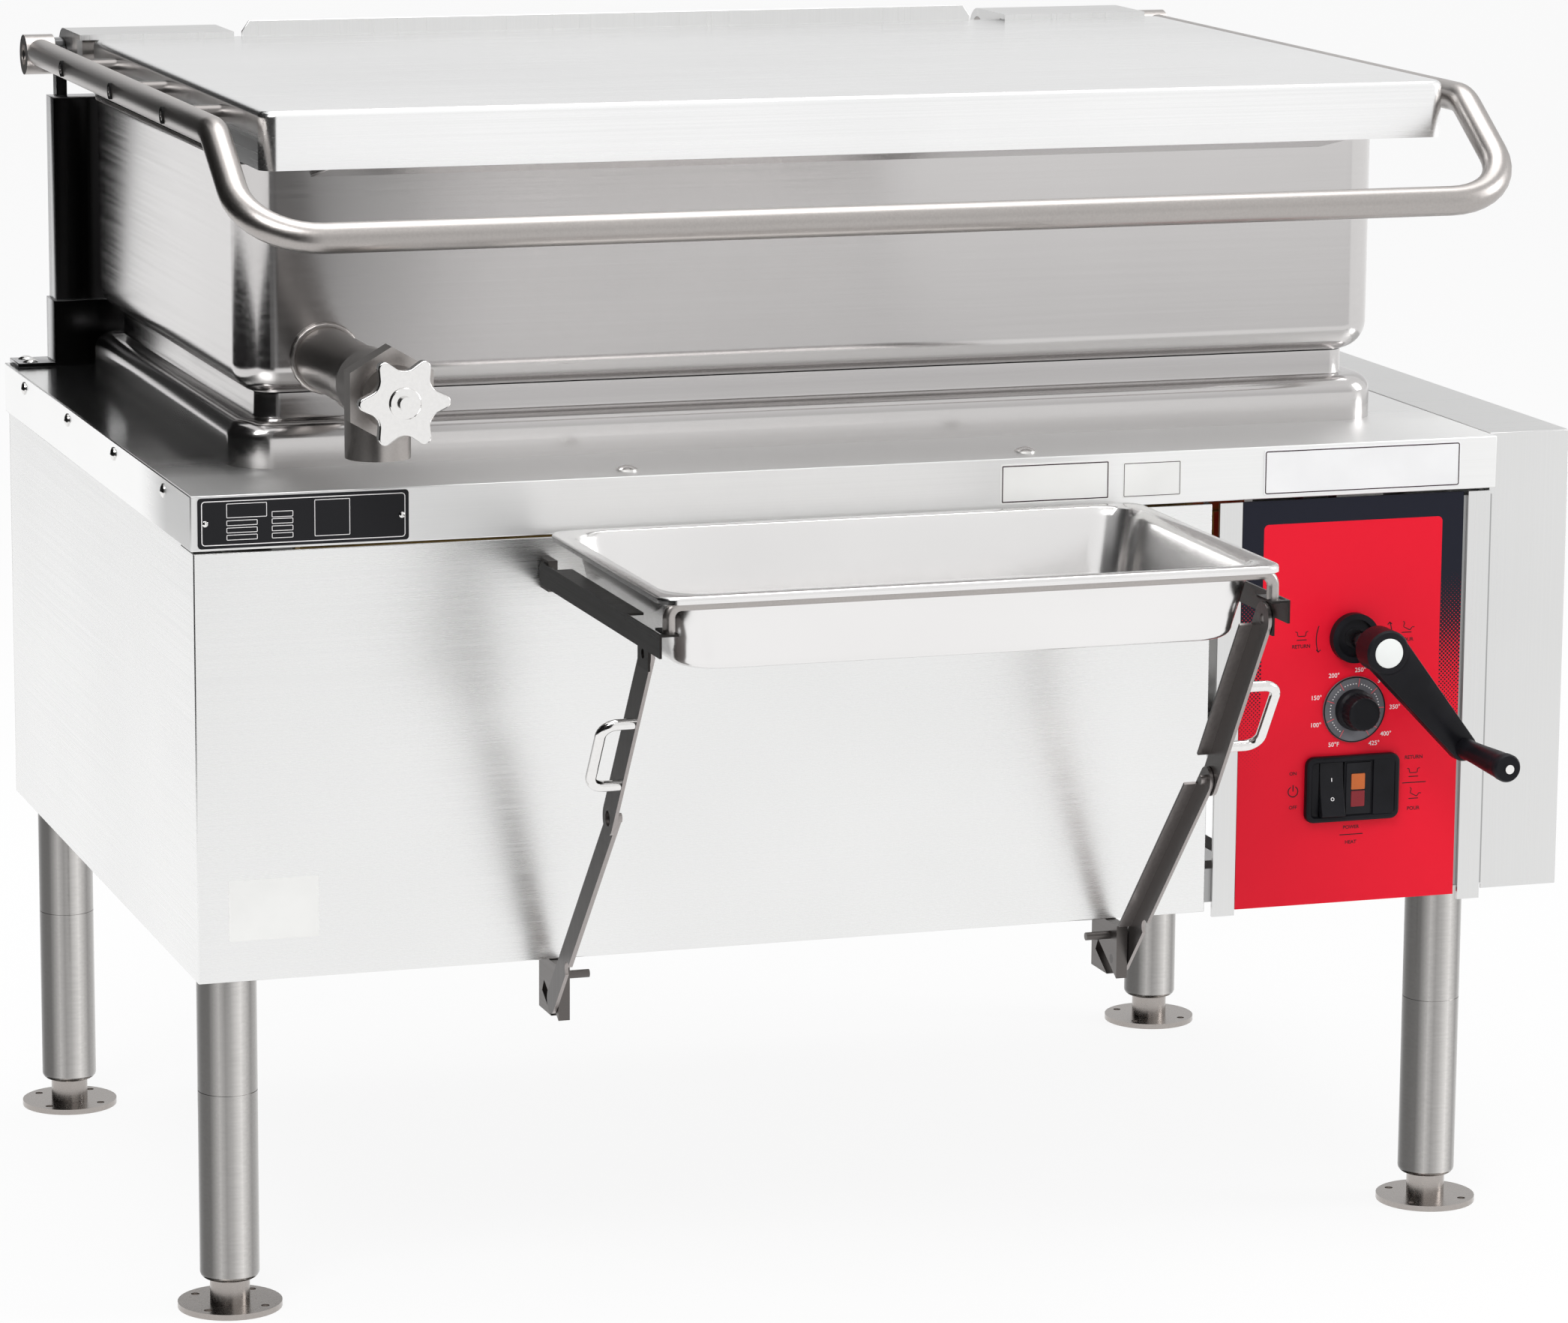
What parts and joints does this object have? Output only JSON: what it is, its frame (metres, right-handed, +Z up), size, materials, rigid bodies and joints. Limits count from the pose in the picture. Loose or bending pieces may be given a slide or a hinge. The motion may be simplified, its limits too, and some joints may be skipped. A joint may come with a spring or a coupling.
{
  "type": "tilting braising pan",
  "caption": "Gas tilting braising pan on round legs, with hinged lid, crank tilt, draw-off valve, control panel and folding tray holder in front",
  "frame": {"origin": "floor level, under the middle of the bounding box", "axes": "+X to the right seen from the operator's side, +Y to the rear, +Z up"},
  "size_m": [1.2504, 1.15, 1.031],
  "materials": {
    "stainless": "brushed stainless sheet",
    "polished": "polished stainless tube and castings",
    "frame_steel": "plain stainless frame",
    "dark_steel": "dark grey bracket steel",
    "red_panel": "red film on the control panel",
    "black": "black plastic",
    "lens": "amber indicator",
    "brass": "gas fittings",
    "plate_black": "blank black plate",
    "plate_white": "blank pale plate",
    "iron": "cast base and burners"
  },
  "bodies": {
    "cabinet": {"base_frame": "frame_steel", "corner_posts": "frame_steel", "leg_tubes": "polished", "flanged_feet": "polished", "side_panel": "stainless", "back_panel": "stainless", "front_panel": "stainless", "side_box": "stainless", "trim_columns": "polished", "control_panel": "red_panel", "heat_box": "frame_steel", "burner_tubes": "iron", "gas_manifold": "brass", "gas_valve": "brass", "pivot_brackets": "dark_steel", "crank_bearing": "black", "jack_gearbox": "dark_steel", "thermostat_body": "black", "switch_housing": "black", "indicator_lens": "lens", "arm_brackets": "dark_steel", "holder_lugs": "dark_steel"},
    "pan": {"deck": "stainless", "pan_skirt": "stainless", "pan_shell": "stainless", "pan_base_plate": "iron", "pivot_ears": "dark_steel", "pivot_pins": "polished", "hinge_posts": "polished", "hinge_shaft": "polished", "lift_cams": "dark_steel", "valve_body": "polished", "valve_cap_nut": "polished", "deck_screws": "polished", "rating_plate": "plate_black", "name_plate": "plate_white"},
    "lid": {"lid_shell": "stainless", "lid_sleeves": "stainless", "hinge_barrels": "polished", "lid_handle": "polished", "handle_bolts": "polished"},
    "stem": {"valve_stem": "polished"},
    "knob": {"valve_knob": "polished"},
    "crank": {"crank_arm": "black", "crank_shaft": "polished"},
    "grip": {"crank_grip": "black"},
    "jack": {"jack_screw": "polished"},
    "dial": {"thermostat_dial": "black"},
    "rocker": {"power_rocker": "black"},
    "gas_lever": {"gas_valve_lever": "brass"},
    "food_tray": {"tray": "stainless"},
    "lower_arm": {"lower_arms": "dark_steel"},
    "upper_arm": {"upper_arms": "dark_steel", "arm_pulls": "polished"},
    "holder": {"holder_angles": "dark_steel", "holder_rod": "polished"}
  },
  "joints": [
    {"name": "pan_tilt", "type": "hinge", "parent": "cabinet", "child": "pan", "pos_m": [0.00225, -0.224, 0.695], "axis": [1, 0, 0], "range_deg": [0, 74]},
    {"name": "lid_hinge", "type": "hinge", "parent": "pan", "child": "lid", "pos_m": [0.00225, 0.549, 0.998], "axis": [-1, 0, 0], "range_deg": [0, 85]},
    {"name": "valve_slide", "type": "slide", "parent": "pan", "child": "stem", "axis": [0, -1, 0], "range_m": [0, 0.012]},
    {"name": "valve_turn", "type": "hinge", "parent": "stem", "child": "knob", "pos_m": [-0.47675, -0.236, 0.801], "axis": [0, -1, 0], "range_deg": [0, 1080]},
    {"name": "crank_turn", "type": "hinge", "parent": "cabinet", "child": "crank", "pos_m": [0.41625, -0.236, 0.536], "axis": [0, 1, 0], "range_deg": [0, 4320]},
    {"name": "grip_spin", "type": "hinge", "parent": "crank", "child": "grip", "pos_m": [0.49223, -0.236, 0.44703], "axis": [0, 1, 0], "continuous": true},
    {"name": "jack_lift", "type": "slide", "parent": "cabinet", "child": "jack", "axis": [0, 0, 1], "range_m": [0, 0.21603]},
    {"name": "dial_turn", "type": "hinge", "parent": "cabinet", "child": "dial", "pos_m": [0.41725, -0.236, 0.472], "axis": [0, 1, 0], "range_deg": [0, 270]},
    {"name": "rocker_press", "type": "hinge", "parent": "cabinet", "child": "rocker", "pos_m": [0.39825, -0.231, 0.4005], "axis": [1, 0, 0], "range_deg": [0, 20]},
    {"name": "gas_lever_turn", "type": "hinge", "parent": "cabinet", "child": "gas_lever", "pos_m": [0.32925, -0.108, 0.629], "axis": [0, 1, 0], "range_deg": [0, 90]},
    {"name": "tray_lift", "type": "slide", "parent": "cabinet", "child": "food_tray", "axis": [0, 0, 1], "range_m": [0, 0.065]},
    {"name": "holder_fold", "type": "hinge", "parent": "cabinet", "child": "holder", "pos_m": [-0.05825, -0.244, 0.632], "axis": [1, 0, 0], "range_deg": [0, 40]},
    {"name": "arm_swing", "type": "hinge", "parent": "cabinet", "child": "lower_arm", "pos_m": [-0.05825, -0.248, 0.266], "axis": [-1, 0, 0], "range_deg": [0, 33]},
    {"name": "arm_knuckle", "type": "hinge", "parent": "lower_arm", "child": "upper_arm", "pos_m": [-0.05825, -0.42729, 0.46223], "axis": [1, 0, 0], "range_deg": [0, 118.5]}
  ],
  "couplings": [
    {"joint": "crank_turn", "follows": "pan_tilt", "ratio": 58.378},
    {"joint": "jack_lift", "follows": "pan_tilt", "m_per_rad": 0.16719},
    {"joint": "valve_slide", "follows": "valve_turn", "m_per_rad": 0.00063662},
    {"joint": "arm_swing", "follows": "holder_fold", "ratio": 0.82225},
    {"joint": "arm_knuckle", "follows": "holder_fold", "ratio": 2.958}
  ]
}
